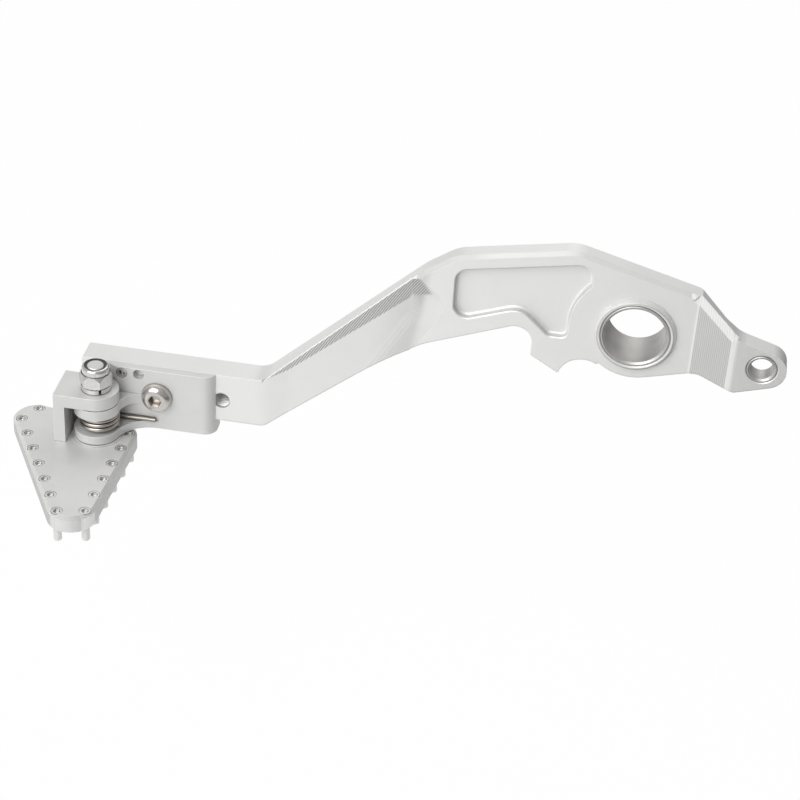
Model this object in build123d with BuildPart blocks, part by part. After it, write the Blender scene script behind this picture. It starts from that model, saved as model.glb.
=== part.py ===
"""Rear brake pedal of a motorbike: a machined arm with a folding, sprung and studded toe piece.

The origin is the middle of the pivot bore. +X runs from the toe piece to the pushrod end, the
pivot axis is Y, and +Z is up. The outer side faces -Y, so a depth d in this file is the plane Y = -d.
"""
from build123d import *
from math import radians, sqrt, tan
import os

os.makedirs("parts", exist_ok=True)

# Fits
seat_gap = 0.02          # radial gap of pieces that are pressed in or screwed home
run_gap = 0.05           # radial gap of the hinge sleeve in its lugs
face_gap = 0.3           # gap between faces that turn past each other
bolt_gap = 0.2           # radial gap of a bolt in its clearance hole

# Arm: depths of its faces
plate_front = 6.5        # front face of the shoulder plate
plate_thickness = 7.3
toe_step = 2.9           # how far the toe end stands proud of the shoulder
tail_step = 5.5          # how far the pushrod tang stands proud of the shoulder
tang_thickness = 6.7
edge_chamfer = 1.2       # top front edge of the shoulder
back_chamfer = 1.0       # rim of the back face
ramp_chamfer = 2.0       # top edge of the ramp before the tang, along its top
ramp_bevel = 3.2         # the same chamfer, down its front

# Arm: its outline from the side, as X and Z
toe_end = -184.0
toe_top = -36.0
toe_height = 18.3
elbow_top = -121.3       # where the toe end turns into the rising part
elbow_bottom = -120.5
knee_top = (-69.3, 13.2)
crest_start = (-59.5, 20.0)
crest_end = (-21.6, 27.2)
tail_corner = (19.5, 16.3)
tail_neck = (33.0, 5.6)
tail_end = 49.0          # the two corners of the tang's end, which is round
tail_end_top = 0.75
tail_end_bottom = -8.85
tail_heel = (33.5, -13.7)
tail_root = (21.6, -11.3)
boss_tangent = (5.0, -15.9)
hook_tip = (-23.6, -18.6)
hook_heel = (-33.0, -13.1)
throat = (-32.6, -0.2)
knee_bottom = (-69.7, -15.0)
elbow_radius = 8.0       # where the top of the toe end turns up
heel_radius = 4.0        # the same turn underneath, and the root of the tang
knee_radius = 25.0
crest_radius = 13.0
neck_radius = 10.0
tail_radius = 6.4
throat_radius = 5.6
sharp_radius = 0.8
scoop_centre = (-15.4, -20.4)
scoop_radius = 8.1

# Arm: ramp to the tang, seen from above
ramp_start = 18.5
ramp_end = 32.0
ramp_back_start = 16.5
ramp_back_end = 28.0
ramp_radius = 3.0

# Arm: milled recess under the top rim of the rising part
recess_bend = -121.0     # X where its floor starts to fall back
recess_ease = -113.0     # X where it goes on less steeply
recess_ease_depth = 7.9
recess_deepest = -73.6   # X where its wall is highest
recess_rim = 5.4         # depth of the top rim there
recess_floor = 3.2       # depth of the floor there
recess_wall = 8.2        # height of the wall there
recess_nose = (-59.7, 0.7)  # corner of the run-out and the cap, before it is rounded
recess_foot = (-70.2, -13.6)
recess_run = 6.5         # how far the run-out slopes back from its edge
recess_radius = 10.0     # where the floor turns up into the run-out
recess_nose_radius = 18.0
recess_ease_radius = 30.0  # where the floor eases off
recess_bend_radius = 25.0  # where the floor leaves the front face
rim_chamfer = 0.4        # edge break along the top rim

# Arm: weight-saving pocket
pocket_left = -59.4
pocket_top_left = 14.9
pocket_right = -15.6
pocket_bottom = -5.2
pocket_waist = (-37.6, 3.7)
pocket_low_left = -4.5
pocket_tip = -28.0
pocket_depth = 2.5
pocket_foot = 1.0        # radius between its wall and its floor
pocket_radius = 4.5
pocket_tip_radius = 2.4
pocket_waist_radius = 7.0
pocket_nib_radius = 1.2
pocket_web = 5.2         # metal left between the pocket and the boss
pocket_break = 0.3       # edge break round the pocket

# Pivot and pushrod bushes
pivot_bore = 20.0
pivot_wall = 1.3
pivot_length = 16.5
boss_base = 26.6
boss_rim = 25.0
boss_back = 27.0
boss_round = 16.6        # outline of the arm round the bore
pushrod_at = (41.1, -3.7)
pushrod_bore = 7.5
pushrod_wall = 1.2
bush_chamfer = 0.6       # inner edges of the bushes
seat_chamfer = 0.35      # outer edges of the bushes and mouths of their seats

# Toe bracket
bracket_thickness = 2.8
bracket_right = -137.0
bracket_step = 0.05      # how far its top lies below the top of the arm
flange_height = 5.1
flange_reach = 9.0       # how far the flange goes back under the arm
bracket_round = 4.5
screw_x = -157.1
screw_below = 10.2       # fixing screw below the top of the arm
hole_pitch = 21.8        # fixing screw to the spare tapped hole
set_screw_x = -169.4
set_screw_below = 2.5
drain_x = -163.5
drain_below = 2.4
drain_bore = 3.9

# Hinge
hinge_x = -176.3
hinge_depth = 18.9
lug_radius = 7.8
lower_lug = 3.0
upper_lug = 3.7
spring_room = 6.6
lower_web_radius = 12.0
upper_web_radius = 6.6
sleeve_radius = 4.0
hinge_bolt = 6.0         # M6

# Toe plate, with corners as X and depth from the hinge
toe_thickness = 5.8
corner_radius = 7.5
nose_radius = 8.3
corner_back_left = (-23.6, -4.9)
corner_back_right = (5.6, -1.5)
corner_nose = (2.7, 39.8)
toe_chamfer = 1.1
pad_radius = 8.4
ear_radius = 7.6
ear_thickness = 4.6
clevis_wall = 3.8
clevis_reach = 9.1       # hinge to the inner face of the clevis wall

# Grip studs
stud_size = 4.0
stud_pitch = 9.05
stud_inset = 2.8
stud_start = -2.5        # first stud of each row, from where the nose begins to curve
stud_sink = 0.1
stud_reach = 6.0         # below the toe plate
stud_point = 2.8
stud_round = 0.6
stud_socket = 2.0
stud_socket_depth = 0.9
left_studs = 7
right_studs = 6

# Hardware
screw_size = 6.0
button_head = 10.5
button_height = 3.3
button_socket = 4.0
button_socket_depth = 2.0
button_flat = 2.8        # radius of the flat on top of the head
button_flank = 0.6       # straight part of its side
screw_grip = 8.6         # length of thread in the arm
set_screw_size = 4.0
set_screw_socket = 2.0
sink_head = 12.0
sink_height = 3.3
sink_socket_depth = 2.5
bolt_chamfer = 0.4
nut_across = 10.0
nut_hex = 4.8
nut_bevel = 25           # degrees, on top
nut_foot = 4.75          # radius of the face under the nut
nut_foot_bevel = 60      # degrees, underneath
nut_collar = 2.4
nut_collar_radius = 4.7
nut_collar_round = 1.0
insert_radius = 3.7
insert_height = 1.6
insert_sink = 0.2
washer_radius = 5.1
washer_thickness = 2.0
washer_slit = 0.7
washer_turn = 31         # degrees
wire = 1.5
coil_radius = 6.0
coil_turns = 3
coil_shift = 1.0         # the coil is looser than the sleeve and is pushed to the bracket's side
leg_end = -157.5

# Worked out from the sizes above
plate_back = plate_front - plate_thickness
toe_front = plate_front + toe_step
tang_front = plate_front + tail_step
tang_back = tang_front - tang_thickness
toe_bottom = toe_top - toe_height
pocket_floor = pocket_depth - plate_front
pivot_outer = pivot_bore / 2 + pivot_wall
pushrod_outer = pushrod_bore / 2 + pushrod_wall
tang_mouth = (pushrod_at[0] + pushrod_outer, -tang_front, pushrod_at[1])
bracket_front = toe_front + bracket_thickness
bracket_top = toe_top - bracket_step
bracket_bottom = toe_bottom - flange_height
screw_z = toe_top - screw_below
set_screw_z = toe_top - set_screw_below
drain_z = toe_top - drain_below
spare_x = screw_x + hole_pitch
lower_lug_top = bracket_bottom + lower_lug
upper_lug_bottom = lower_lug_top + spring_room
upper_lug_top = upper_lug_bottom + upper_lug
pad_top = bracket_bottom - face_gap
toe_plate_top = pad_top - face_gap
toe_plate_bottom = toe_plate_top - toe_thickness
ear_bottom = upper_lug_top + face_gap
ear_top = ear_bottom + ear_thickness
nut_bottom = ear_top + washer_thickness
nut_top = nut_bottom + nut_hex + nut_collar
bracket_left = hinge_x - clevis_reach + face_gap
reach = -toe_end         # longer than any cut through the part
margin = 1.0             # how far a cutter starts outside it
hinge = Vector(hinge_x, -hinge_depth, 0)


def front(depth):
    """Sketch plane seen from the outer side, at a depth towards it."""
    return Plane.XZ.offset(depth)


def level(z):
    """Sketch plane seen from above, at a height."""
    return Plane.XY.offset(z)


def at_hinge(z):
    """Sketch plane seen from above, at a height, with its origin on the hinge axis."""
    return Plane(origin=(hinge_x, -hinge_depth, z))


def through(a, b, c):
    """Plane through three points, facing the side from which they run anticlockwise."""
    a, b, c = Vector(a), Vector(b), Vector(c)
    return Plane(origin=a, z_dir=(b - a).cross(c - a).normalized())


def along(a, b, x):
    """Point at x on the line through two points."""
    return (x, a[1] + (b[1] - a[1]) * (x - a[0]) / (b[0] - a[0]))


def across(line):
    """Sketch plane square to the start of a line, with its x axis along Y as far as that goes."""
    along = line % 0
    return Plane(origin=line @ 0, x_dir=Vector(0, 1, 0).cross(along).cross(along), z_dir=along)


# Cutter of the milled recess: a floor that falls back, a leaning wall, a run-out and a cap over it
rim_z = along((elbow_top, toe_top), knee_top, recess_deepest)[1]
rim_start = (elbow_top, -toe_front, toe_top)
rim_point = (recess_deepest, -recess_rim, rim_z)
wall_foot = (recess_deepest, -recess_floor, rim_z - recess_wall)
nose_point = (recess_nose[0], -plate_front, recess_nose[1])
foot_point = (recess_foot[0], -plate_front, recess_foot[1])
nose_in = (recess_nose[0] - recess_run, -recess_floor, recess_nose[1])
foot_in = (recess_foot[0] - recess_run, -recess_floor, recess_foot[1])
cap_in = (recess_deepest, -recess_floor, rim_z - recess_run)
recess_front = -toe_front - margin
recess_stop = recess_nose[0] + recess_run
floor_start = along((-toe_front, recess_bend), (-recess_ease_depth, recess_ease), recess_front)[1]
floor_ease = (recess_ease, -recess_ease_depth)
floor_end = (recess_deepest, -recess_floor)
run_out = through(nose_point, nose_in, foot_point)
cap = through(rim_point, cap_in, nose_point)
nose_plane = Plane(origin=nose_point, z_dir=run_out.z_dir.cross(cap.z_dir))


def nose_side(point):
    """Direction from the nose to a point, seen along the edge between the run-out and the cap."""
    local = nose_plane.to_local_coords(Vector(point))
    return Vector(local.X, local.Y).normalized()


with BuildPart() as recess_cutter:
    with BuildSketch(level(toe_bottom - margin)) as recess_plan:
        with BuildLine():
            Polyline(
                (floor_start, recess_front),
                floor_ease,
                along(floor_ease, floor_end, recess_stop),
                (recess_stop, recess_front),
                close=True,
            )
        make_face()
        fillet(recess_plan.vertices().sort_by_distance(floor_ease)[0], recess_ease_radius)
    extrude(amount=crest_end[1] - toe_bottom + 2*margin)
    # Run-out and cap, rounded into each other, then the wall
    with BuildSketch(nose_plane) as nose_plan:
        with BuildLine():
            Polyline((0, 0), nose_side(rim_point) * reach, nose_side(foot_point) * reach, close=True)
        make_face()
        fillet(nose_plan.vertices().sort_by_distance(nose_point)[0], recess_nose_radius)
    extrude(amount=reach, both=True, mode=Mode.INTERSECT)
    fillet(recess_cutter.edges().sort_by_distance(foot_in)[0], recess_radius)
    split(bisect_by=through(rim_start, wall_foot, rim_point), keep=Keep.TOP)

# Cutters of the chamfers along the top edges: a diamond drawn along each edge
with BuildPart() as front_edge_cutter:
    with BuildLine(front(plate_front)) as front_edge:
        FilletPolyline(
            (recess_deepest, rim_z), knee_top, crest_start, crest_end, tail_corner,
            radius=[knee_radius, crest_radius, crest_radius],
        )
    with BuildSketch(across(front_edge.line)):
        RegularPolygon(edge_chamfer, 4)
    sweep(path=front_edge.line)

with BuildPart() as back_edge_cutter:
    with BuildLine(front(plate_back)) as back_edge:
        FilletPolyline(
            (toe_end, toe_top), (elbow_top, toe_top), knee_top, crest_start, crest_end, tail_corner,
            radius=[elbow_radius, knee_radius, crest_radius, crest_radius],
        )
    with BuildSketch(across(back_edge.line)):
        RegularPolygon(back_chamfer, 4)
    sweep(path=back_edge.line)

with BuildPart() as rim_edge_cutter:
    with BuildLine() as rim_edge:
        Line(rim_start, rim_point)
    with BuildSketch(across(rim_edge.line)):
        RegularPolygon(rim_chamfer, 4)
    sweep(path=rim_edge.line)

ramp_foot_z = along(tail_corner, tail_neck, ramp_start)[1]
ramp_head_z = along(tail_corner, tail_neck, ramp_end)[1]
with BuildPart() as ramp_edge_cutter:
    with BuildLine() as ramp_edge:
        Line((ramp_start, -plate_front, ramp_foot_z), (ramp_end, -tang_front, ramp_head_z))
    with BuildSketch(across(ramp_edge.line)):
        Polygon((-ramp_chamfer, 0), (0, -ramp_bevel), (ramp_chamfer, 0), (0, ramp_bevel))
    sweep(path=ramp_edge.line)

# Outline of the pocket, with its inner end running round the boss
pocket_slope = (crest_end[1] - crest_start[1]) / (crest_end[0] - crest_start[0])
with BuildSketch() as pocket:
    with BuildLine():
        Polyline(
            (pocket_left, pocket_top_left),
            (pocket_right, pocket_top_left + pocket_slope * (pocket_right - pocket_left)),
            (pocket_right, pocket_bottom),
            (pocket_tip, pocket_bottom),
            pocket_waist,
            (pocket_left, pocket_low_left),
            close=True,
        )
    make_face()
    Circle(boss_round + pocket_web, mode=Mode.SUBTRACT)
    fillet(pocket.vertices().group_by(Axis.X)[0], pocket_radius)
    fillet(pocket.vertices().group_by(Axis.Y)[-1], pocket_radius)
    fillet(pocket.vertices().group_by(Axis.Y)[0], pocket_tip_radius)
    fillet(pocket.vertices().sort_by_distance(pocket_waist)[0], pocket_waist_radius)
    fillet(pocket.vertices().group_by(Axis.X)[-1].sort_by(Axis.Y)[0], pocket_nib_radius)

# Lever arm
with BuildPart() as lever_arm:
    with BuildSketch(front(plate_back)):
        with BuildLine():
            FilletPolyline(
                (toe_end, toe_top),
                (elbow_top, toe_top),
                knee_top,
                crest_start,
                crest_end,
                tail_corner,
                tail_neck,
                (tail_end, tail_end_top),
                (tail_end, tail_end_bottom),
                tail_heel,
                tail_root,
                boss_tangent,
                (0, -boss_round / 2),
                hook_tip,
                hook_heel,
                throat,
                knee_bottom,
                (elbow_bottom, toe_bottom),
                (toe_end, toe_bottom),
                radius=[
                    sharp_radius, elbow_radius, knee_radius, crest_radius, crest_radius, sharp_radius,
                    neck_radius, tail_radius, tail_radius, sharp_radius, heel_radius, sharp_radius,
                    sharp_radius, sharp_radius, sharp_radius, throat_radius, knee_radius, heel_radius,
                    sharp_radius,
                ],
                close=True,
            )
        make_face()
        Circle(boss_round)
        with Locations(scoop_centre):
            Circle(scoop_radius, mode=Mode.SUBTRACT)
    extrude(amount=tang_front - plate_back)
    # Thickness along the arm, seen from above
    with BuildSketch(Plane.XY) as lever_arm_plan:
        with BuildLine():
            Polyline(
                (toe_end - margin, -toe_front),
                (recess_bend, -toe_front),
                (knee_bottom[0], -plate_front),
                (ramp_start, -plate_front),
                (ramp_end, -tang_front),
                (reach, -tang_front),
                (reach, -tang_back),
                (ramp_back_end, -tang_back),
                (ramp_back_start, -plate_back),
                (toe_end - margin, -plate_back),
                close=True,
            )
        make_face()
        fillet(lever_arm_plan.vertices().filter_by_position(Axis.X, 0, ramp_end + margin), ramp_radius)
    extrude(amount=reach, both=True, mode=Mode.INTERSECT)
    add([front_edge_cutter.part, back_edge_cutter.part, ramp_edge_cutter.part], mode=Mode.SUBTRACT)
    add(recess_cutter.part, mode=Mode.SUBTRACT)
    bend = (recess_bend, -toe_front, (toe_top + toe_bottom) / 2)
    fillet(lever_arm.edges().filter_by(Axis.Z).sort_by_distance(bend)[0], recess_bend_radius)
    add(rim_edge_cutter.part, mode=Mode.SUBTRACT)
    with BuildSketch(front(plate_front)):
        add(pocket.sketch)
    extrude(amount=-pocket_depth, mode=Mode.SUBTRACT)
    with BuildSketch(front(plate_front)):
        add(pocket.sketch)
        offset(amount=pocket_break)
    extrude(amount=-pocket_break, taper=45, mode=Mode.SUBTRACT)
    fillet(lever_arm.edges().filter_by_position(Axis.Y, pocket_floor, pocket_floor), pocket_foot)
    # Boss round the pivot: a low cone in front and a plain hub behind
    with BuildSketch(front(plate_front)):
        Circle(boss_base / 2)
    with BuildSketch(front(pivot_length / 2)):
        Circle(boss_rim / 2)
    loft()
    with BuildSketch(front(-pivot_length / 2)):
        Circle(boss_back / 2)
    extrude(amount=pivot_length / 2 + plate_back)
    # Bores for the bushes and the tapped holes for the bracket
    with BuildSketch(front(-reach)):
        Circle(pivot_outer + seat_gap)
        with Locations(pushrod_at):
            Circle(pushrod_outer + seat_gap)
        with Locations((screw_x, screw_z), (spare_x, screw_z)):
            Circle(screw_size / 2 + seat_gap)
    extrude(amount=2 * reach, mode=Mode.SUBTRACT)
    # Mouths of the seats, which leave a fine groove round each bush
    rings = lever_arm.edges().filter_by(GeomType.CIRCLE)
    mouths = rings.filter_by_position(Axis.Y, -pivot_length / 2, -pivot_length / 2).sort_by(SortBy.RADIUS)[:1]
    mouths += rings.filter_by_position(Axis.Y, -tang_front, -tang_front).sort_by_distance(tang_mouth)[:1]
    chamfer(mouths, seat_chamfer)

# Steel bushes pressed into the arm
with BuildPart() as pivot_bush:
    with BuildSketch(front(-pivot_length / 2)):
        Circle(pivot_outer)
        Circle(pivot_bore / 2, mode=Mode.SUBTRACT)
    extrude(amount=pivot_length)
    chamfer(pivot_bush.edges().filter_by(GeomType.CIRCLE).group_by(SortBy.RADIUS)[0], bush_chamfer)
    chamfer(pivot_bush.edges().filter_by(GeomType.CIRCLE).group_by(SortBy.RADIUS)[-1], seat_chamfer)

with BuildPart() as pushrod_bush:
    with BuildSketch(front(tang_back)):
        with Locations(pushrod_at):
            Circle(pushrod_outer)
            Circle(pushrod_bore / 2, mode=Mode.SUBTRACT)
    extrude(amount=tang_thickness)
    chamfer(pushrod_bush.edges().filter_by(GeomType.CIRCLE).group_by(SortBy.RADIUS)[0], bush_chamfer)
    chamfer(pushrod_bush.edges().filter_by(GeomType.CIRCLE).group_by(SortBy.RADIUS)[-1], seat_chamfer)

# Toe bracket: an angle against the front and underside of the arm, with two hinge lugs
plate_y = hinge_depth - bracket_front


def lug_outline(web_radius):
    """Round lug seen from above, with a web that sweeps into the face of the bracket."""
    centre_y = plate_y - web_radius
    centre = Vector(sqrt((lug_radius + web_radius) ** 2 - centre_y ** 2), centre_y)
    start = centre * (lug_radius / (lug_radius + web_radius))
    end = centre + Vector(0, web_radius)
    middle = centre + (start + end - centre * 2).normalized() * web_radius
    with BuildSketch() as outline:
        Circle(lug_radius)
        with BuildLine():
            ThreePointArc(start, middle, end)
            Polyline(end, (end.X, plate_y + face_gap), (0, plate_y + face_gap), (0, 0), start)
        make_face()
    return outline.sketch


lower_outline = lug_outline(lower_web_radius)
upper_outline = lug_outline(upper_web_radius)

coil_bottom = lower_lug_top + wire / 2 + seat_gap
coil_pitch = (spring_room - wire - 2 * seat_gap) / coil_turns
coil_top = coil_bottom + coil_pitch * coil_turns
coil_x = hinge_x + coil_shift
leg_y = hinge.Y + coil_radius
groove = wire + 2 * bolt_gap
with BuildPart() as toe_bracket:
    with BuildSketch(level(bracket_bottom)) as angle_plan:
        with BuildLine():
            Polyline(
                (bracket_left, -bracket_front),
                (bracket_right, -bracket_front),
                (bracket_right, -toe_front + flange_reach),
                (bracket_left, -toe_front + flange_reach),
                close=True,
            )
        make_face()
        fillet(angle_plan.vertices().group_by(Axis.X)[-1], bracket_round)
    extrude(amount=bracket_top - bracket_bottom)
    # Room for the arm
    with BuildSketch(Plane.YZ.offset(bracket_left - reach)):
        with Locations((-toe_front, toe_bottom)):
            Rectangle(reach, reach, align=(Align.MIN, Align.MIN))
    extrude(amount=2 * reach, mode=Mode.SUBTRACT)
    with BuildSketch(at_hinge(bracket_bottom)):
        add(lower_outline)
    extrude(amount=lower_lug)
    with BuildSketch(at_hinge(upper_lug_bottom)):
        add(upper_outline)
    extrude(amount=upper_lug)
    # Room for the ear of the toe plate, above the upper lug
    with BuildSketch(at_hinge(upper_lug_top)):
        Circle(ear_radius + 2 * face_gap)
        Rectangle(reach, reach, align=(Align.MAX, Align.CENTER))
    extrude(amount=reach, mode=Mode.SUBTRACT)
    # Room for the coils and the two legs of the spring
    with BuildSketch(at_hinge(lower_lug_top)):
        with Locations((coil_shift, 0)):
            Circle(coil_radius + wire / 2 + face_gap)
    extrude(amount=spring_room, mode=Mode.SUBTRACT)
    with BuildSketch(Plane.YZ.offset(coil_x)):
        with Locations((leg_y, coil_bottom)):
            Rectangle(groove, wire, align=(Align.CENTER, Align.CENTER))
    extrude(amount=leg_end + wire / 2 - coil_x, mode=Mode.SUBTRACT)
    with BuildSketch(Plane.YZ.offset(coil_x)):
        with Locations((leg_y, coil_top)):
            Rectangle(groove, wire, align=(Align.CENTER, Align.CENTER))
    extrude(amount=-reach, mode=Mode.SUBTRACT)
    # Bores
    with BuildSketch(at_hinge(bracket_bottom - reach)):
        Circle(sleeve_radius + run_gap)
    extrude(amount=2 * reach, mode=Mode.SUBTRACT)
    with BuildSketch(front(toe_front)):
        with Locations((screw_x, screw_z)):
            Circle(screw_size / 2 + bolt_gap)
        with Locations((set_screw_x, set_screw_z)):
            Circle(set_screw_size / 2 + seat_gap)
        with Locations((drain_x, drain_z)):
            Circle(drain_bore / 2)
    extrude(amount=reach, mode=Mode.SUBTRACT)

# Fixing screw of the bracket, with a domed head
screw_seat = Plane(origin=(screw_x, -bracket_front, screw_z), x_dir=(1, 0, 0), z_dir=(0, 0, 1))
screw_axis = Axis((screw_x, 0, screw_z), (0, 1, 0))
with BuildPart() as bracket_screw:
    with BuildSketch(screw_seat):
        with BuildLine():
            Polyline(
                (0, -button_height),
                (0, bracket_thickness + screw_grip),
                (screw_size / 2, bracket_thickness + screw_grip),
                (screw_size / 2, 0),
                (button_head / 2, 0),
                (button_head / 2, -button_flank),
            )
            TangentArc((button_head / 2, -button_flank), (button_flat, -button_height), tangent=(0, -1))
            Line((button_flat, -button_height), (0, -button_height))
        make_face()
    revolve(axis=screw_axis)
    with BuildSketch(front(bracket_front + button_height)):
        with Locations((screw_x, screw_z)):
            RegularPolygon(button_socket / 2, 6, major_radius=False)
    extrude(amount=-button_socket_depth, mode=Mode.SUBTRACT)

with BuildPart() as bracket_set_screw:
    with BuildSketch(front(toe_front)):
        with Locations((set_screw_x, set_screw_z)):
            Circle(set_screw_size / 2)
    extrude(amount=bracket_thickness)
    with BuildSketch(front(bracket_front)):
        with Locations((set_screw_x, set_screw_z)):
            RegularPolygon(set_screw_socket / 2, 6, major_radius=False)
    extrude(amount=-bracket_thickness / 2, mode=Mode.SUBTRACT)

# Toe plate with its clevis
back_left = Vector(corner_back_left[0], -corner_back_left[1])
back_right = Vector(corner_back_right[0], -corner_back_right[1])
nose = Vector(corner_nose[0], -corner_nose[1])
corner_ring = corner_radius - stud_inset
nose_ring = nose_radius - stud_inset


def stud_row(corner, side, count):
    """Places of a row of studs that runs from the nose to a back corner, along one side of the plate."""
    outward = (corner - nose).normalized().cross(Vector(0, 0, side))
    first = nose + outward * nose_ring
    run = (corner + outward * corner_ring - first).normalized()
    return [first + run * (stud_start + stud_pitch * i) for i in range(count)]


stud_points = stud_row(back_left, -1, left_studs) + stud_row(back_right, 1, right_studs)
stud_points += [back_left + Vector(0, corner_ring), back_right + Vector(0, corner_ring)]
wall_centre = -clevis_reach - clevis_wall / 2
with BuildPart() as toe_plate:
    with BuildSketch(at_hinge(toe_plate_bottom)):
        with BuildLine():
            CenterArc(back_left, corner_radius, 0, 360)
            CenterArc(back_right, corner_radius, 0, 360)
            CenterArc(nose, nose_radius, 0, 360)
        make_hull()
    extrude(amount=toe_thickness)
    chamfer(toe_plate.faces().sort_by(Axis.Z)[-1].edges(), toe_chamfer)
    with BuildSketch(at_hinge(toe_plate_top)):
        Circle(pad_radius)
    extrude(amount=pad_top - toe_plate_top)
    with BuildSketch(at_hinge(toe_plate_top)):
        with Locations((wall_centre, 0)):
            Rectangle(clevis_wall, 2 * ear_radius)
    extrude(amount=ear_top - toe_plate_top)
    with BuildSketch(at_hinge(ear_bottom)):
        Circle(ear_radius)
        Rectangle(clevis_reach + clevis_wall, 2 * ear_radius, align=(Align.MAX, Align.CENTER))
    extrude(amount=ear_thickness)
    with BuildSketch(at_hinge(toe_plate_bottom)):
        Circle(hinge_bolt / 2 + seat_gap)
        with Locations(*stud_points):
            Circle(stud_size / 2 + seat_gap)
    extrude(amount=toe_thickness + face_gap, mode=Mode.SUBTRACT)
    with BuildSketch(at_hinge(ear_bottom)):
        Circle(hinge_bolt / 2 + seat_gap)
    extrude(amount=ear_thickness, mode=Mode.SUBTRACT)
    with BuildSketch(at_hinge(toe_plate_bottom)):
        Circle(sink_head / 2 + seat_gap)
    with BuildSketch(at_hinge(toe_plate_bottom + sink_height)):
        Circle(hinge_bolt / 2 + seat_gap)
    loft(mode=Mode.SUBTRACT)

# Grip studs: grub screws with a plain point that stands out of the toe plate
stud_top = toe_plate_top - stud_sink
with BuildPart() as stud:
    with BuildSketch(level(toe_plate_bottom)):
        Circle(stud_size / 2)
    extrude(amount=stud_top - toe_plate_bottom)
    with BuildSketch(level(toe_plate_bottom)):
        Circle(stud_point / 2)
    extrude(amount=-stud_reach)
    fillet(stud.edges().sort_by(Axis.Z)[0], stud_round)
    with BuildSketch(level(stud_top)):
        RegularPolygon(stud_socket / 2, 6, major_radius=False)
    extrude(amount=-stud_socket_depth, mode=Mode.SUBTRACT)

with BuildPart() as grip_studs:
    with Locations(*[hinge + point for point in stud_points]):
        add(stud.part)

# Hinge bolt, sunk into the underside of the toe plate
with BuildPart() as pivot_bolt:
    with BuildSketch(at_hinge(toe_plate_bottom)):
        Circle(hinge_bolt / 2)
    extrude(amount=nut_top - toe_plate_bottom)
    chamfer(pivot_bolt.edges().sort_by(Axis.Z)[-1], bolt_chamfer)
    with BuildSketch(at_hinge(toe_plate_bottom)):
        Circle(sink_head / 2)
    with BuildSketch(at_hinge(toe_plate_bottom + sink_height)):
        Circle(hinge_bolt / 2)
    loft()
    with BuildSketch(at_hinge(toe_plate_bottom)):
        RegularPolygon(button_socket / 2, 6, major_radius=False)
    extrude(amount=sink_socket_depth, mode=Mode.SUBTRACT)

with BuildPart() as pivot_sleeve:
    with BuildSketch(at_hinge(pad_top)):
        Circle(sleeve_radius)
        Circle(hinge_bolt / 2 + seat_gap, mode=Mode.SUBTRACT)
    extrude(amount=ear_bottom - pad_top)

with BuildPart() as spring_washer:
    with BuildSketch(at_hinge(ear_top)):
        Circle(washer_radius)
        Circle(hinge_bolt / 2 + seat_gap, mode=Mode.SUBTRACT)
        Rectangle(
            washer_slit, 2 * washer_radius, rotation=washer_turn, align=(Align.CENTER, Align.MAX),
            mode=Mode.SUBTRACT,
        )
    extrude(amount=washer_thickness)

# Locking nut with a nylon ring under its rolled collar
nut_bevel_radius = nut_across / 2 + nut_hex * tan(radians(nut_bevel))
with BuildPart() as lock_nut:
    with BuildSketch(at_hinge(nut_bottom)):
        RegularPolygon(nut_across / 2, 6, major_radius=False)
    extrude(amount=nut_hex)
    with BuildSketch(at_hinge(nut_bottom)):
        Circle(nut_bevel_radius)
    extrude(amount=nut_hex, taper=nut_bevel, mode=Mode.INTERSECT)
    with BuildSketch(at_hinge(nut_bottom)):
        Circle(nut_foot)
    extrude(amount=nut_hex, taper=-nut_foot_bevel, mode=Mode.INTERSECT)
    with BuildSketch(at_hinge(nut_bottom + nut_hex)):
        Circle(nut_collar_radius)
    extrude(amount=nut_collar)
    fillet(lock_nut.edges().sort_by(Axis.Z)[-1], nut_collar_round)
    with BuildSketch(at_hinge(nut_bottom)):
        Circle(hinge_bolt / 2 + seat_gap)
    extrude(amount=nut_hex + nut_collar, mode=Mode.SUBTRACT)
    with BuildSketch(at_hinge(nut_top)):
        Circle(insert_radius + seat_gap)
    extrude(amount=-insert_height, mode=Mode.SUBTRACT)

with BuildPart() as nut_insert:
    with BuildSketch(at_hinge(nut_top - insert_height)):
        Circle(insert_radius)
        Circle(hinge_bolt / 2 + seat_gap, mode=Mode.SUBTRACT)
    extrude(amount=insert_height - insert_sink)

# Torsion spring: one leg in the bracket, the other against the wall of the clevis
with BuildPart() as torsion_spring:
    with BuildLine(Plane(origin=(coil_x, hinge.Y, coil_bottom), x_dir=(0, 1, 0))) as coil:
        Helix(coil_pitch, coil_pitch * coil_turns, coil_radius)
    with BuildSketch(Plane(origin=coil.line @ 0, z_dir=coil.line % 0)):
        Circle(wire / 2)
    sweep(path=coil.line, is_frenet=True)
    with BuildSketch(Plane.YZ.offset(coil_x)):
        with Locations((leg_y, coil_bottom)):
            Circle(wire / 2)
    extrude(amount=leg_end - coil_x)
    with BuildSketch(Plane.YZ.offset(coil_x)):
        with Locations((leg_y, coil_top)):
            Circle(wire / 2)
    extrude(amount=face_gap - clevis_reach - coil_shift)

pieces = {
    "lever_arm": lever_arm,
    "pivot_bush": pivot_bush,
    "pushrod_bush": pushrod_bush,
    "toe_bracket": toe_bracket,
    "bracket_screw": bracket_screw,
    "bracket_set_screw": bracket_set_screw,
    "toe_plate": toe_plate,
    "grip_studs": grip_studs,
    "pivot_bolt": pivot_bolt,
    "pivot_sleeve": pivot_sleeve,
    "spring_washer": spring_washer,
    "lock_nut": lock_nut,
    "nut_insert": nut_insert,
    "torsion_spring": torsion_spring,
}
for name, piece in pieces.items():
    piece.part.label = name
    export_step(piece.part, f"parts/{name}.step")
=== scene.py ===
"""Rear brake pedal: finishes, tool marks, thread ridges, floor, light and the camera of the photograph."""
import math

import bpy
from mathutils import Matrix, Vector


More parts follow.
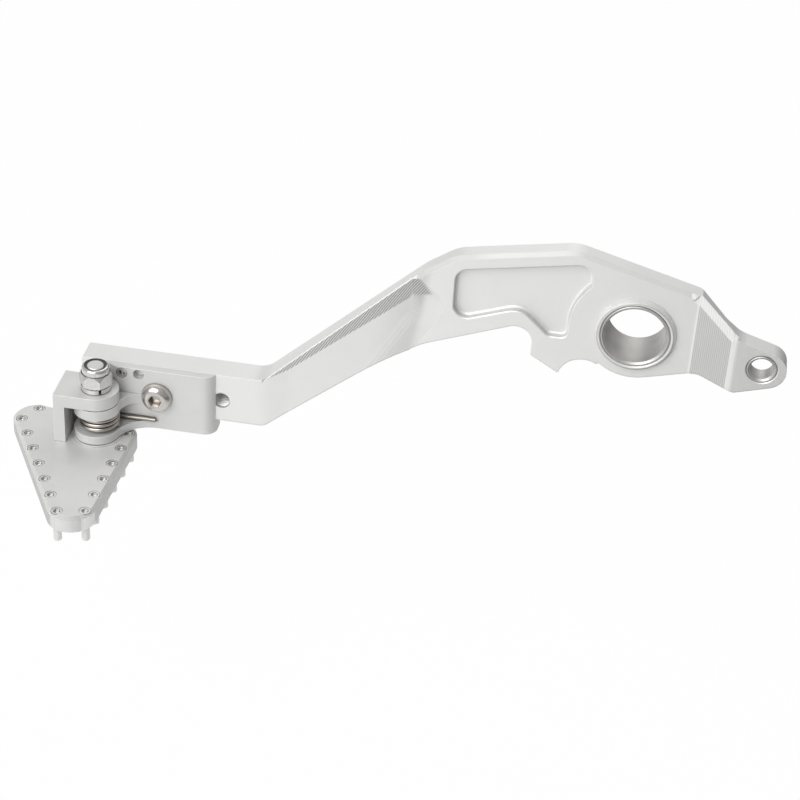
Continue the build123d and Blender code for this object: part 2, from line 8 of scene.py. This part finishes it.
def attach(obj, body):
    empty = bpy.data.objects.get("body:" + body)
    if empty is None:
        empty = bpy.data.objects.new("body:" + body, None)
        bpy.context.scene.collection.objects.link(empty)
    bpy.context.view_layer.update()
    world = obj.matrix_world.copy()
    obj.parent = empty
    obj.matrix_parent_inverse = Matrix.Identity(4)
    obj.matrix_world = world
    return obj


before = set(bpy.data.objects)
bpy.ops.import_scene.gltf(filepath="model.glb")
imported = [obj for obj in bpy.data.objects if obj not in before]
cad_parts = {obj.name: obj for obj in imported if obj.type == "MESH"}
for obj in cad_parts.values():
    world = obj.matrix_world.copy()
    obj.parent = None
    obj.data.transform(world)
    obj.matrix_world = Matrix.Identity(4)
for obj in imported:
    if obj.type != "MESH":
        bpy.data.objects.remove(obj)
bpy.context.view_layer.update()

MM = 0.001
X, Y, Z = (1, 0, 0), (0, 1, 0), (0, 0, 1)
OUT = (0, -1, 0)  # towards the outer side of the pedal, where the camera stands
LEFT = (-1, 0, 0)
DOWN = (0, 0, -1)


class Graph:
    """The node tree of one material, with short calls for the nodes that the finishes use."""

    def __init__(self, name):
        self.material = bpy.data.materials.new(name)
        self.material.use_nodes = True
        self.tree = self.material.node_tree
        self.tree.nodes.clear()
        self.point = self.node("ShaderNodeTexCoord").outputs["Object"]
        self.normal = self.node("ShaderNodeNewGeometry").outputs["True Normal"]

    def node(self, kind, **settings):
        made = self.tree.nodes.new(kind)
        for key, value in settings.items():
            setattr(made, key, value)
        return made

    def put(self, socket, value):
        if isinstance(value, bpy.types.NodeSocket):
            self.tree.links.new(value, socket)
        else:
            socket.default_value = value

    def math(self, operation, first, second=0.0):
        made = self.node("ShaderNodeMath", operation=operation)
        self.put(made.inputs[0], first)
        self.put(made.inputs[1], second)
        return made.outputs[0]

    def other(self, mask):
        """1 where the mask is 0, and 0 where it is 1."""
        return self.math("SUBTRACT", 1.0, mask)

    def every(self, *masks):
        """Masks multiplied together."""
        whole = masks[0]
        for mask in masks[1:]:
            whole = self.math("MULTIPLY", whole, mask)
        return whole

    def total(self, *signals):
        """Signals added together."""
        whole = signals[0]
        for signal in signals[1:]:
            whole = self.math("ADD", whole, signal)
        return whole

    def mixed(self, base, *shares):
        """A base, and each signal added to it by its share."""
        whole = base
        for signal, share in shares:
            whole = self.math("ADD", self.math("MULTIPLY", signal, share), whole)
        return whole

    def dot(self, vector, direction):
        made = self.node("ShaderNodeVectorMath", operation="DOT_PRODUCT")
        self.put(made.inputs[0], vector)
        self.put(made.inputs[1], direction)
        return made.outputs["Value"]

    def ramp(self, value, low, high, start=0.0, end=1.0):
        """Value carried smoothly from low..high to start..end, and held there outside it."""
        made = self.node("ShaderNodeMapRange", interpolation_type="SMOOTHSTEP")
        self.put(made.inputs["Value"], value)
        made.inputs["From Min"].default_value = low
        made.inputs["From Max"].default_value = high
        made.inputs["To Min"].default_value = start
        made.inputs["To Max"].default_value = end
        return made.outputs[0]

    def noise(self, size, detail=3.0, stretch=(1, 1, 1)):
        """Noise whose grains are about this many millimetres, longer along an axis with a small stretch."""
        place = self.node("ShaderNodeMapping")
        self.put(place.inputs["Vector"], self.point)
        place.inputs["Scale"].default_value = [s / (size*MM) for s in stretch]
        made = self.node("ShaderNodeTexNoise")
        self.put(made.inputs["Vector"], place.outputs[0])
        made.inputs["Scale"].default_value = 1.0
        made.inputs["Detail"].default_value = detail
        return made.outputs["Fac"]

    def lines(self, direction, pitch, sway=0.0):
        """Even lines across a direction, from 0 to 1, this many millimetres apart."""
        turns = self.dot(self.point, [d / (pitch*MM) for d in direction])
        if sway:
            turns = self.mixed(turns, (self.noise(9*pitch), sway))
        wave = self.math("SINE", self.math("MULTIPLY", turns, 2*math.pi))
        return self.mixed(0.5, (wave, 0.5))

    def facing(self, direction, low, high):
        """1 where the face looks along the direction, with the limits as cosines."""
        return self.ramp(self.dot(self.normal, Vector(direction).normalized()), low, high)

    def along(self, direction):
        """Millimetres along a direction."""
        return self.dot(self.point, [d / MM for d in direction])

    def radius(self, x=0.0, z=0.0):
        """Millimetres from an axis along Y, which is that of the pivot bore if none is given."""
        flat = self.node("ShaderNodeVectorMath", operation="MULTIPLY_ADD")
        self.put(flat.inputs[0], self.point)
        self.put(flat.inputs[1], (1/MM, 0, 1/MM))
        self.put(flat.inputs[2], (-x, 0, -z))
        distance = self.node("ShaderNodeVectorMath", operation="LENGTH")
        self.put(distance.inputs[0], flat.outputs[0])
        return distance.outputs["Value"]

    def span(self, place, low, high, soft):
        """1 where a place lies between two limits, with soft ends."""
        rise = self.ramp(place, low - soft, low + soft)
        fall = self.ramp(place, high - soft, high + soft, 1.0, 0.0)
        return self.math("MULTIPLY", rise, fall)

    def between(self, direction, low, high, soft=0.3):
        """1 between two millimetre places along a direction."""
        return self.span(self.along(direction), low, high, soft)

    def ring(self, low, high, x=0.0, z=0.0, soft=0.1):
        """1 between two millimetre distances from an axis along Y."""
        return self.span(self.radius(x, z), low, high, soft)

    def near(self, distance, inside):
        """1 close to an edge (inside) or in a corner (outside), within so many millimetres, and 0 elsewhere."""
        made = self.node("ShaderNodeAmbientOcclusion", samples=8, inside=inside, only_local=inside)
        made.inputs["Distance"].default_value = distance*MM
        return self.other(made.outputs["AO"])

    def rim(self, radius, direction, low, high):
        """1 on a face within this many millimetres of an edge that turns over towards the direction."""
        made = self.node("ShaderNodeBevel", samples=6)
        made.inputs["Radius"].default_value = radius*MM
        return self.ramp(self.dot(made.outputs[0], Vector(direction).normalized()), low, high)

    def edges(self, level, edge, lighter, corner, darker):
        """A level made lighter within edge millimetres of the edges, a painted highlight, and darker within corner of
        the corners, painted shade.
        """
        edge_highlight = self.ramp(self.near(edge, True), 0.10, 0.45)
        corner_shade = self.ramp(self.near(corner, False), 0.15, 0.65)
        return self.mixed(level, (edge_highlight, lighter), (corner_shade, -darker))

    def marked(self, mask, lines, base, depth):
        """How much darker marks make a place: base all over it, and depth more between the lines."""
        return self.every(mask, self.mixed(base, (self.other(lines), depth)))

    def tint(self, level, dark, light):
        """Colour between dark at level 0 and light at level 1."""
        made = self.node("ShaderNodeMix", data_type="RGBA")
        self.put(made.inputs[0], level)
        made.inputs[6].default_value = (*dark, 1)
        made.inputs[7].default_value = (*light, 1)
        return made.outputs[2]

    def finish(self, colour, roughness, height, depth, metallic, edge):
        """The surface: a height of 1 is worth depth millimetres, and edge rounds the shading of the edges."""
        round_edge = self.node("ShaderNodeBevel", samples=6)
        round_edge.inputs["Radius"].default_value = edge*MM
        bump = self.node("ShaderNodeBump")
        bump.inputs["Strength"].default_value = 1.0
        bump.inputs["Distance"].default_value = depth*MM
        self.put(bump.inputs["Height"], height)
        self.put(bump.inputs["Normal"], round_edge.outputs[0])
        surface = self.node("ShaderNodeBsdfPrincipled")
        self.put(surface.inputs["Base Color"], colour)
        self.put(surface.inputs["Roughness"], roughness)
        surface.inputs["Metallic"].default_value = metallic
        self.put(surface.inputs["Normal"], bump.outputs[0])
        output = self.node("ShaderNodeOutputMaterial")
        self.put(output.inputs["Surface"], surface.outputs[0])
        return self.material


def arm_satin():
    """Machined and anodised arm: a fine grain all over, cutter marks where the photograph shows them."""
    g = Graph("arm_satin")
    grain = g.noise(0.22, 2.0)
    cloud = g.noise(14.0, 2.0)
    streak = g.noise(0.35, 2.0, (1, 0.04, 1))
    outer = g.facing(OUT, 0.70, 0.80)

    # Wall of the recess and the cap at its end, which look down: slanting marks of a ball cutter, which end in
    # a point on the cap. The wall is painted darker between the marks, partly as the marks and partly as painted
    # shade on a face that looks down; the cap is painted darker all over, painted shade.
    in_cap = g.ramp(g.along(X), -78, -75.5)
    cap_point = g.every(g.ramp(g.along((1, 0, 1)), -62.8, -60.8, 1.0, 0.0),
                        g.ramp(g.along((-0.389, 0, 0.921)), 29.3, 30.8))
    wall = g.every(outer, g.facing(DOWN, 0.08, 0.20), g.between(X, -122, -58),
                   g.other(g.every(in_cap, g.other(cap_point))))
    shaded_cap = g.every(wall, g.facing(LEFT, 0.0, 0.2), g.between(X, -90, -67, 2.5))
    hatch = g.lines((-0.866, 0, 0.5), 0.72, 0.25)

    # Run-out of the recess, which looks left: fine marks along its edge. Painted shade: darker on the floor by
    # the run-out, over the scoop between them, and towards the foot of the run-out.
    off_wall = g.every(outer, g.other(wall))
    across = g.along((1, 0, -0.138))
    floor_side = g.ramp(across, -71.3, -67.8, 1.0, 0.0)
    floor_shade = g.every(off_wall, g.ramp(across, -86, -71), floor_side)
    scoop = g.every(off_wall, g.facing(LEFT, -0.14, 0.36), floor_side, g.between(X, -100, -57))
    run_out = g.every(off_wall, g.facing(LEFT, 0.03, 0.25), g.other(floor_side), g.between(X, -86, -57))
    run_out_foot_shade = g.every(run_out, g.ramp(g.along(Z), -10, 2, 1.0, 0.0))
    arcs = g.lines((0.85, 0, -0.53), 0.60)

    # Ramp of the tang: upright marks over painted shade, a plain strip at each end painted lighter as a highlight,
    # and a scalloped top edge painted lighter as a highlight.
    ramp = g.every(g.facing((-0.377, -0.926, 0), 0.970, 0.990), g.between(X, 18.2, 33))
    milled = g.between(X, 18.8, 30.4)
    ramp_rows = g.every(ramp, milled)
    ramp_end_highlight = g.every(ramp, g.other(milled))
    rows = g.lines(X, 0.62, 0.12)
    scallop = g.every(g.facing((0.13, -0.81, 0.58), 0.96, 0.985), g.between(X, 17, 34))
    scallops = g.lines(X, 0.85)
    # Front face of the tang, painted darker: painted shade
    tang_shade = g.every(outer, g.between(X, 30.6, 60))

    # Chamfer of the crest and its part over the knee, painted darker as painted shade against the lamp's highlight;
    # its end by the ramp, painted lighter as a painted highlight.
    crest = g.every(g.facing((-0.25, -0.69, 0.68), 0.86, 0.91), g.between(X, -72, 17.2, 0.2), g.between(Z, 8, 40))
    knee_shade = g.every(crest, g.between(X, -80, -52, 6.0))
    nick_highlight = g.every(g.facing((0, -0.7, 0.7), 0.90, 0.96), g.between(X, 16.0, 17.2), g.between(Z, 13, 19))

    # Walls of the pocket and of the spare tapped hole, painted darker: painted shade
    sideways = g.ramp(g.math("ABSOLUTE", g.dot(g.normal, OUT)), 0.45, 0.75, 1.0, 0.0)
    pocket = g.every(sideways, g.between(Y, -6.4, -3.0), g.between(X, -60, -14), g.between(Z, -7, 19))
    tapped_hole_shade = g.every(sideways, g.between(X, -138.8, -131.8), g.between(Z, -49.7, -42.7))

    # Two turned steps on the face of the boss, with a groove at the inner one that is painted darker: painted shade
    boss_face = g.between(Y, -12, -6.7)
    distance = g.radius()
    steps = g.every(g.total(g.ramp(distance, 12.2, 12.5, 4.0, 0.0), g.ramp(distance, 12.9, 13.2, 4.0, 0.0)), boss_face)
    boss_groove_shade = g.every(g.ring(12.05, 12.45), boss_face)

    # Lower edges of the outer faces and faces that look down and out, painted darker: painted shade
    underside_shade = g.every(g.other(wall), g.facing((0.1, -0.7, -0.7), 0.86, 0.94))
    lower_edge_shade = g.every(off_wall, g.rim(0.9, (0.35, 0, -0.94), 0.15, 0.45))

    # Grain, cloud and streak are random tone; the masked rows below paint shade and highlights, besides the cutter
    # marks
    level = g.mixed(
        0.735,
        (grain, 0.07),
        (cloud, 0.07),
        (streak, 0.07),
        (g.marked(wall, hatch, 0.0, 0.74), -1.0),
        (shaded_cap, -0.28),
        (g.marked(run_out, arcs, 0.02, 0.12), -1.0),
        (run_out_foot_shade, -0.20),
        (floor_shade, -0.18),
        (scoop, -0.28),
        (g.marked(ramp_rows, rows, 0.33, 0.22), -1.0),
        (ramp_end_highlight, 0.08),
        (g.marked(scallop, scallops, -0.20, 0.14), -1.0),
        (tang_shade, -0.18),
        (crest, -0.18),
        (knee_shade, -0.16),
        (nick_highlight, 0.40),
        (pocket, -0.31),
        (tapped_hole_shade, -0.20),
        (boss_groove_shade, -0.40),
        (underside_shade, -0.50),
        (lower_edge_shade, -0.45),
    )
    level = g.edges(level, edge=0.4, lighter=0.12, corner=0.6, darker=0.70)
    colour = g.tint(level, (0.30, 0.30, 0.29), (0.88, 0.88, 0.87))
    matt = g.total(pocket, crest, run_out, scoop)
    roughness = g.mixed(0.42, (cloud, 0.10), (grain, 0.06), (matt, 0.20))
    height = g.mixed(
        steps,
        (grain, 0.25),
        (streak, 0.25),
        (g.every(wall, hatch), 1.0),
        (g.every(run_out, arcs), 0.4),
        (g.every(ramp_rows, rows), 1.0),
        (g.every(scallop, scallops), 0.5),
    )
    return g.finish(colour, roughness, height, depth=0.035, metallic=0.55, edge=0.15)


def toe_blasted():
    """Bracket and toe plate: fine blasted and anodised, a little greyer than the arm."""
    g = Graph("toe_blasted")
    grain = g.noise(0.18, 3.0)
    cloud = g.noise(11.0, 2.0)
    plate = g.between(Z, -67, -59.6)
    # The side that looks right is painted lighter, painted light; the side that looks left darker, painted shade
    right_side_light = g.every(plate, g.facing((0.87, -0.5, 0), 0.90, 0.97))
    left_side_shade = g.every(plate, g.facing((-0.9, -0.44, 0), 0.75, 0.90))
    # Break edge along the top, painted darker: painted shade against the lamp's highlight
    break_edge = g.facing((0, -0.75, 0.66), 0.85, 0.92)
    level = g.mixed(0.36, (grain, 0.15), (cloud, 0.15), (right_side_light, 0.45), (left_side_shade, -0.30), (break_edge, -0.20))
    level = g.edges(level, edge=0.4, lighter=0.22, corner=0.5, darker=0.80)
    colour = g.tint(level, (0.36, 0.36, 0.35), (0.95, 0.95, 0.94))
    roughness = g.mixed(0.46, (cloud, 0.10), (grain, 0.10), (break_edge, 0.20))
    return g.finish(colour, roughness, grain, depth=0.02, metallic=0.45, edge=0.2)


def polished(name, dark, light, smooth, grain_size, rim, corner):
    """Plated hardware: a faint drawn grain, duller patches, rims tinted by rim (painted shade where it is below 0),
    and painted shade within corner of corners.
    """
    g = Graph(name)
    drawn = g.noise(grain_size, 2.0, (1, 1, 0.08))
    patch = g.noise(3.5, 3.0)
    level = g.mixed(0.60, (drawn, 0.20), (patch, 0.20))
    level = g.edges(level, edge=0.3, lighter=rim, corner=corner, darker=1.20)
    colour = g.tint(level, dark, light)
    roughness = g.mixed(smooth, (patch, 0.10), (drawn, 0.05))
    return g.finish(colour, roughness, drawn, depth=0.006, metallic=0.8, edge=0.15)


def turned():
    """Bushes and sleeve: lines of a lathe tool round the bore, a dark ring of painted shade round the face of each
    bush, and faces that look along +X painted lighter: painted light.
    """
    g = Graph("turned")
    rings = g.lines(Y, 0.35, 0.3)
    patch = g.noise(4.0, 3.0)
    pivot_ring = g.ring(11.1, 12.6)
    pushrod_ring = g.ring(4.75, 5.8, x=41.1, z=-3.7)
    bush_groove_shade = g.every(g.facing(OUT, 0.60, 0.80), g.total(pivot_ring, pushrod_ring))
    right_facing_light = g.facing(X, 0.10, 0.80)
    level = g.edges(g.mixed(0.35, (rings, 0.15), (patch, 0.35)), edge=0.3, lighter=0.15, corner=0.6, darker=0.95)
    level = g.mixed(level, (bush_groove_shade, -0.45), (right_facing_light, 0.30))
    colour = g.tint(level, (0.25, 0.24, 0.23), (0.82, 0.81, 0.79))
    roughness = g.mixed(0.46, (patch, 0.12))
    return g.finish(colour, roughness, rings, depth=0.008, metallic=1.0, edge=0.15)


def drawn_wire():
    """Spring wire: bright, a little warm, with faint die marks, painted shade in the corners between the coils and a
    leg painted darker as painted shade.
    """
    g = Graph("drawn_wire")
    die = g.noise(0.12, 2.0)
    patch = g.noise(2.5, 3.0)
    leg_shade = g.between(X, -167.5, -120, 1.5)
    level = g.edges(g.mixed(0.35, (die, 0.2), (patch, 0.3)), edge=0.2, lighter=0.0, corner=1.0, darker=1.10)
    colour = g.tint(g.mixed(level, (leg_shade, -0.30)), (0.12, 0.10, 0.08), (0.74, 0.70, 0.66))
    roughness = g.mixed(0.24, (patch, 0.10))
    return g.finish(colour, roughness, die, depth=0.005, metallic=1.0, edge=0.1)


def nylon():
    """Insert of the lock nut: dark and matt."""
    g = Graph("nylon")
    grain = g.noise(0.15, 3.0)
    colour = g.tint(grain, (0.03, 0.03, 0.03), (0.08, 0.08, 0.08))
    roughness = g.mixed(0.5, (grain, 0.25))
    return g.finish(colour, roughness, grain, depth=0.01, metallic=0.0, edge=0.1)


def tapped():
    """Ridge of the spare thread: a painted highlight along the crest and painted shade in the root."""
    g = Graph("tapped")
    scuff = g.noise(0.5, 3.0)
    crest = g.lines((-0.053, 1, 0), 1.0)
    colour = g.tint(g.mixed(crest, (scuff, 0.15)), (0.22, 0.22, 0.22), (0.95, 0.95, 0.94))
    roughness = g.mixed(0.5, (scuff, 0.1))
    return g.finish(colour, roughness, scuff, depth=0.01, metallic=0.6, edge=0.08)


arm_look = arm_satin()
toe_look = toe_blasted()
turned_look = turned()
# A rim below 0 paints a dark line of shade along the edges
chrome = polished(
    "chrome", dark=(0.05, 0.05, 0.05), light=(0.80, 0.79, 0.78),
    smooth=0.08, grain_size=0.25, rim=-0.60, corner=0.8)
screw_look = polished(
    "screw_chrome", dark=(0.26, 0.22, 0.19), light=(0.66, 0.64, 0.62),
    smooth=0.13, grain_size=0.25, rim=-0.45, corner=1.8)
bolt_look = polished(
    "bolt_steel", dark=(0.08, 0.08, 0.08), light=(0.88, 0.87, 0.86),
    smooth=0.42, grain_size=0.25, rim=0.0, corner=0.5)
set_screw_look = polished(
    "set_screw_steel", dark=(0.02, 0.02, 0.02), light=(0.70, 0.68, 0.66),
    smooth=0.15, grain_size=0.2, rim=-0.80, corner=0.6)
stud_look = polished(
    "stud_steel", dark=(0.08, 0.08, 0.07), light=(0.90, 0.89, 0.88),
    smooth=0.34, grain_size=0.2, rim=-0.85, corner=0.28)
looks = {
    "lever_arm": arm_look,
    "pivot_bush": turned_look,
    "pushrod_bush": turned_look,
    "toe_bracket": toe_look,
    "bracket_screw": screw_look,
    "bracket_set_screw": set_screw_look,
    "toe_plate": toe_look,
    "grip_studs": stud_look,
    "pivot_bolt": bolt_look,
    "pivot_sleeve": turned_look,
    "spring_washer": chrome,
    "lock_nut": chrome,
    "nut_insert": nylon(),
    "torsion_spring": drawn_wire(),
}
for name, look in looks.items():
    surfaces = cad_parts[name].data.materials
    surfaces.clear()
    surfaces.append(look)


def thread(name, start, length, radius, depth, pitch, look):
    """Ridge of a screw thread inside a hole along +Y, in millimetres; its foot sits a little inside the wall."""
    steps = 28  # stations round each turn
    seat = 0.03
    profile = ((seat, -0.42), (-depth, -0.06), (-depth, 0.06), (seat, 0.42))  # out of the wall, share of the pitch
    corners = len(profile)
    turns = length/pitch - 1
    stations = int(turns*steps)
    vertices = []
    faces = []
    for i in range(stations + 1):
        angle = 2*math.pi*i/steps
        middle = start[1] + pitch*(0.5 + i/steps)
        for reach, offset in profile:
            r = radius + reach
            vertices.append(((start[0] + r*math.cos(angle))*MM, (middle + offset*pitch)*MM,
                             (start[2] + r*math.sin(angle))*MM))
        if i:
            a, b = corners*(i - 1), corners*i
            for k in range(corners):
                after = (k + 1) % corners
                faces.append((a + k, a + after, b + after, b + k))
    last = corners*stations
    faces.append(tuple(reversed(range(corners))))
    faces.append(tuple(range(last, last + corners)))
    mesh = bpy.data.meshes.new(name)
    mesh.from_pydata(vertices, [], faces)
    mesh.update()
    mesh.materials.append(look)
    ridge = bpy.data.objects.new(name, mesh)
    bpy.context.collection.objects.link(ridge)
    return ridge


spare_thread = thread(
    "spare_hole_thread", start=(-135.3, -9.2, -46.2), length=9.6, radius=3.02, depth=0.45, pitch=1.0, look=tapped())
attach(spare_thread, "lever")


def floor_look():
    """White floor that keeps a little of the object's shadow; metal sees it darker on the right."""
    g = Graph("floor_white")
    soft = g.node("ShaderNodeBsdfDiffuse")
    soft.inputs["Color"].default_value = (0.85, 0.85, 0.85, 1)
    path = g.node("ShaderNodeLightPath")
    camera_ray = path.outputs["Is Camera Ray"]
    mirrored = g.math("MAXIMUM", path.outputs["Is Glossy Ray"], path.outputs["Is Transmission Ray"])
    side = g.ramp(g.dot(g.point, X), -0.12, 0.24, 1.0, 0.08)
    white = g.node("ShaderNodeEmission")
    white.inputs["Color"].default_value = (1, 1, 1, 1)
    g.put(white.inputs["Strength"], g.math("MAXIMUM", camera_ray, side))
    mix = g.node("ShaderNodeMixShader")
    g.put(mix.inputs[0], g.math("MULTIPLY", g.math("MAXIMUM", camera_ray, mirrored), 0.97))
    g.put(mix.inputs[1], soft.outputs[0])
    g.put(mix.inputs[2], white.outputs[0])
    output = g.node("ShaderNodeOutputMaterial")
    g.put(output.inputs["Surface"], mix.outputs[0])
    return g.material


bpy.ops.mesh.primitive_plane_add(size=12, location=(0, 0, -0.16))
floor = bpy.context.object
floor.name = "floor"
floor.data.materials.append(floor_look())


def softbox(name, place, target, size, power):
    """Square lamp that looks from its place to the target."""
    lamp = bpy.data.lights.new(name, "AREA")
    lamp.shape = "SQUARE"
    lamp.size = size
    lamp.energy = power
    made = bpy.data.objects.new(name, lamp)
    bpy.context.collection.objects.link(made)
    made.location = place
    made.rotation_euler = (Vector(target) - Vector(place)).to_track_quat("-Z", "Y").to_euler()


pedal_middle = (-0.08, 0, -0.02)
softbox("key", (-0.55, -0.80, 0.75), pedal_middle, size=1.0, power=13.0)
softbox("top", (0.0, 0.5, 0.7), pedal_middle, size=0.7, power=1.8)


def studio_sky():
    """Grey surroundings, lighter on the side of the main lamp."""
    made = bpy.data.worlds.new("studio")
    made.use_nodes = True
    nodes = made.node_tree.nodes
    links = made.node_tree.links
    nodes.clear()
    direction = nodes.new("ShaderNodeTexCoord")
    side = nodes.new("ShaderNodeVectorMath")
    side.operation = "DOT_PRODUCT"
    side.inputs[1].default_value = (-0.75, -0.1, 0.65)
    links.new(direction.outputs["Generated"], side.inputs[0])
    level = nodes.new("ShaderNodeMapRange")
    level.interpolation_type = "SMOOTHSTEP"
    level.inputs["From Min"].default_value = -0.5
    level.inputs["From Max"].default_value = 0.9
    level.inputs["To Min"].default_value = 0.29
    level.inputs["To Max"].default_value = 0.52
    links.new(side.outputs["Value"], level.inputs["Value"])
    sky = nodes.new("ShaderNodeBackground")
    sky.inputs["Color"].default_value = (1, 1, 1, 1)
    links.new(level.outputs[0], sky.inputs["Strength"])
    output = nodes.new("ShaderNodeOutputWorld")
    links.new(sky.outputs[0], output.inputs["Surface"])
    return made


scene = bpy.context.scene
scene.world = studio_sky()
scene.view_settings.view_transform = "Standard"

# Camera of the photograph: its turn round the object, height, roll and distance were worked out from edges
azimuth = math.radians(7.25)
elevation = math.radians(34.31)
roll = math.radians(3.71)
camera_place = (-0.00223, -0.57648, 0.35415)
right = Vector((math.cos(azimuth), math.sin(azimuth), 0))
up = Vector((-math.sin(azimuth)*math.sin(elevation),
             math.cos(azimuth)*math.sin(elevation),
             math.cos(elevation)))
ahead = up.cross(right)
right, up = right*math.cos(roll) + up*math.sin(roll), up*math.cos(roll) - right*math.sin(roll)
turn = Matrix((right, up, -ahead)).transposed().to_4x4()
lens = bpy.data.cameras.new("camera")
lens.sensor_width = 36
lens.lens = 93.3
camera = bpy.data.objects.new("camera", lens)
bpy.context.collection.objects.link(camera)
camera.matrix_world = Matrix.Translation(camera_place) @ turn
scene.camera = camera
